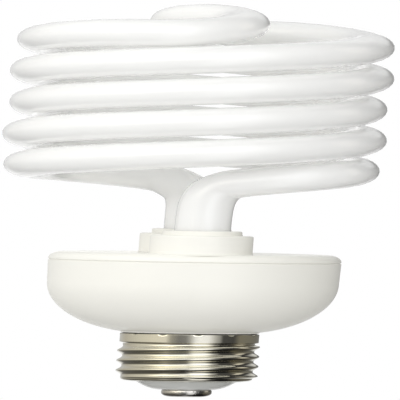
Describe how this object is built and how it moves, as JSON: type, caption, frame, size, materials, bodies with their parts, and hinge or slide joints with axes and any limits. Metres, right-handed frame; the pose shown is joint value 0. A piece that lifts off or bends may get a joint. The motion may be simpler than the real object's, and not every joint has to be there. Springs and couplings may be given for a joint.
{
  "type": "spiral energy saving bulb",
  "caption": "Energy saving bulb: a white glass tube wound as a double spiral, on a round plastic ballast housing with a screw cap.",
  "frame": {"origin": "middle of the centre contact's flat end", "axes": "+Z runs along the cap's axis up through the coil, -Y faces the viewer of the picture"},
  "size_m": [0.0713, 0.0702, 0.1447],
  "materials": {
    "spiral_glass": "opal white, glossy",
    "housing_plastic": "warm white, satin",
    "cap_metal": "bright nickel plate",
    "insulator_glass": "smooth pale grey",
    "contact_metal": "dull tin",
    "cement_white": "matt",
    "board_laminate": "paper laminate",
    "can_sleeve": "black sleeve",
    "ferrite": "dark grey, matt",
    "bobbin_plastic": "black",
    "copper_wire": "varnished copper",
    "package_black": "moulded black",
    "film_green": "dipped green",
    "film_brown": "dipped red-brown",
    "tinned_wire": "tinned",
    "resistor_coat": "beige lacquer",
    "diac_glass": "blue glaze",
    "thermistor_coat": "dark blue coat",
    "wire_sleeve": "white sleeve"
  },
  "bodies": {
    "root": {"glass_spiral": "spiral_glass", "leg_cement": "cement_white", "holder_cover": "housing_plastic", "ballast_housing": "housing_plastic", "screw_shell": "cap_metal", "cap_insulator": "insulator_glass", "centre_contact": "contact_metal", "circuit_board": "board_laminate", "smoothing_capacitor": "can_sleeve", "choke_core": "ferrite", "choke_bobbin": "bobbin_plastic", "choke_winding": "copper_wire", "drive_toroid": "ferrite", "drive_windings": "copper_wire", "switching_transistors": "package_black", "resonant_capacitor": "film_brown", "blocking_capacitor": "film_green", "snubber_capacitor": "film_green", "rectifier_diodes": "package_black", "input_choke_core": "ferrite", "input_choke_winding": "copper_wire", "fusible_resistor": "resistor_coat", "bias_resistors": "resistor_coat", "trigger_diac": "diac_glass", "start_thermistor": "thermistor_coat", "wrap_pins": "tinned_wire", "filament_leads": "tinned_wire", "line_wire": "wire_sleeve", "neutral_wire": "tinned_wire"}
  },
  "joints": []
}
